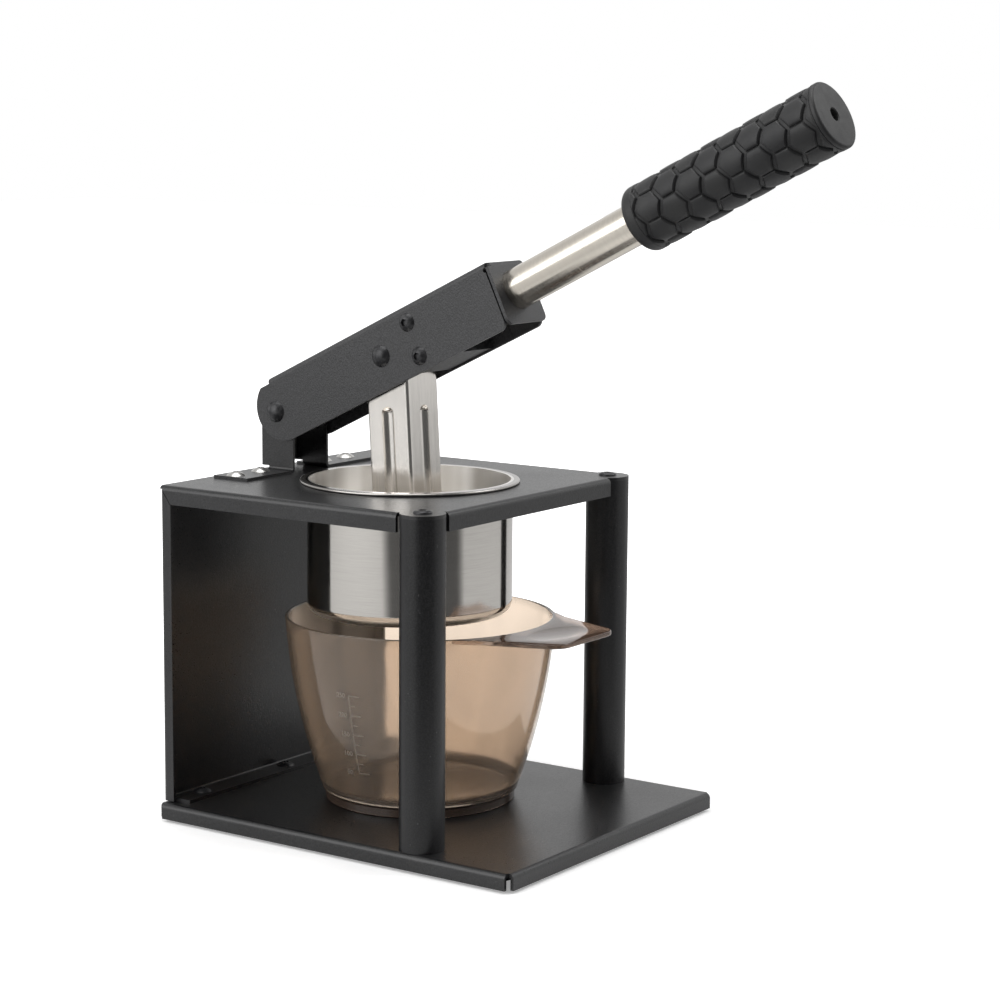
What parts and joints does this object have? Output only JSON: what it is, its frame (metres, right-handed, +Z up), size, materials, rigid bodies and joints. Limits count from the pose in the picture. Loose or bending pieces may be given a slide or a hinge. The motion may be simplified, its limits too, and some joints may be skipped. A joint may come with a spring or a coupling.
{
  "type": "citrus press",
  "caption": "Manual lever citrus press: folded black steel frame, hanging steel cup, square press stem, rubber-gripped lever and smoky juice bowl.",
  "frame": {"origin": "on the standing surface under the middle of the whole press's outline, lever as stored", "axes": "+Z up, -Y forward to the handle, +X to the right seen from the front"},
  "size_m": [0.21, 0.377, 0.4208],
  "materials": {
    "frame_black": "fine-textured black powder coat",
    "post_black": "satin black powder coat on round tube",
    "lever_black": "fine-textured black powder coat",
    "screw_black": "black oxide",
    "zinc": "bright zinc plate",
    "bright_screw": "nickel plate",
    "cup_steel": "polished stainless steel",
    "tube_steel": "brushed stainless steel",
    "stem_steel": "satin stainless steel",
    "block_black": "black oxide",
    "grip_rubber": "matt moulded rubber",
    "foot_rubber": "matt moulded rubber",
    "bowl_smoke": "smoky translucent plastic"
  },
  "bodies": {
    "frame": {"base_plate": "frame_black", "back_panel": "frame_black", "top_plate": "frame_black", "post_left": "post_black", "post_right": "post_black", "post_plugs": "zinc", "post_top_screws": "screw_black", "post_bottom_screws": "screw_black", "panel_screws": "screw_black", "panel_nuts": "zinc", "rubber_feet": "foot_rubber", "hinge_bracket": "frame_black", "bracket_screws": "bright_screw", "bracket_nuts": "zinc", "hinge_sleeve": "zinc", "juice_cup": "cup_steel", "strainer_base": "cup_steel"},
    "lever": {"lever_arm": "lever_black", "hinge_pin": "screw_black", "pivot_pin": "screw_black", "pivot_washers": "zinc", "handle_block": "block_black", "clamp_screws": "screw_black", "handle_tube": "tube_steel", "handle_grip": "grip_rubber"},
    "press": {"press_stem": "stem_steel", "pivot_sleeve": "zinc", "stem_plug": "zinc", "press_disc": "cup_steel", "disc_screws": "bright_screw"},
    "bowl": {"juice_bowl": "bowl_smoke"}
  },
  "joints": [
    {"name": "lever_hinge", "type": "hinge", "parent": "frame", "child": "lever", "pos_m": [0, 0.17064, 0.2297], "axis": [1, 0, 0], "range_deg": [-39, 31]},
    {"name": "press_pivot", "type": "hinge", "parent": "lever", "child": "press", "pos_m": [0, 0.09333, 0.26691], "axis": [1, 0, 0], "range_deg": [-21.5, 26.6]},
    {"name": "bowl_slide", "type": "slide", "parent": "frame", "child": "bowl", "axis": [0, -1, 0], "range_m": [-0.02, 0.13]}
  ],
  "couplings": [
    {"joint": "press_pivot", "follows": "lever_hinge", "ratio": -0.68}
  ]
}
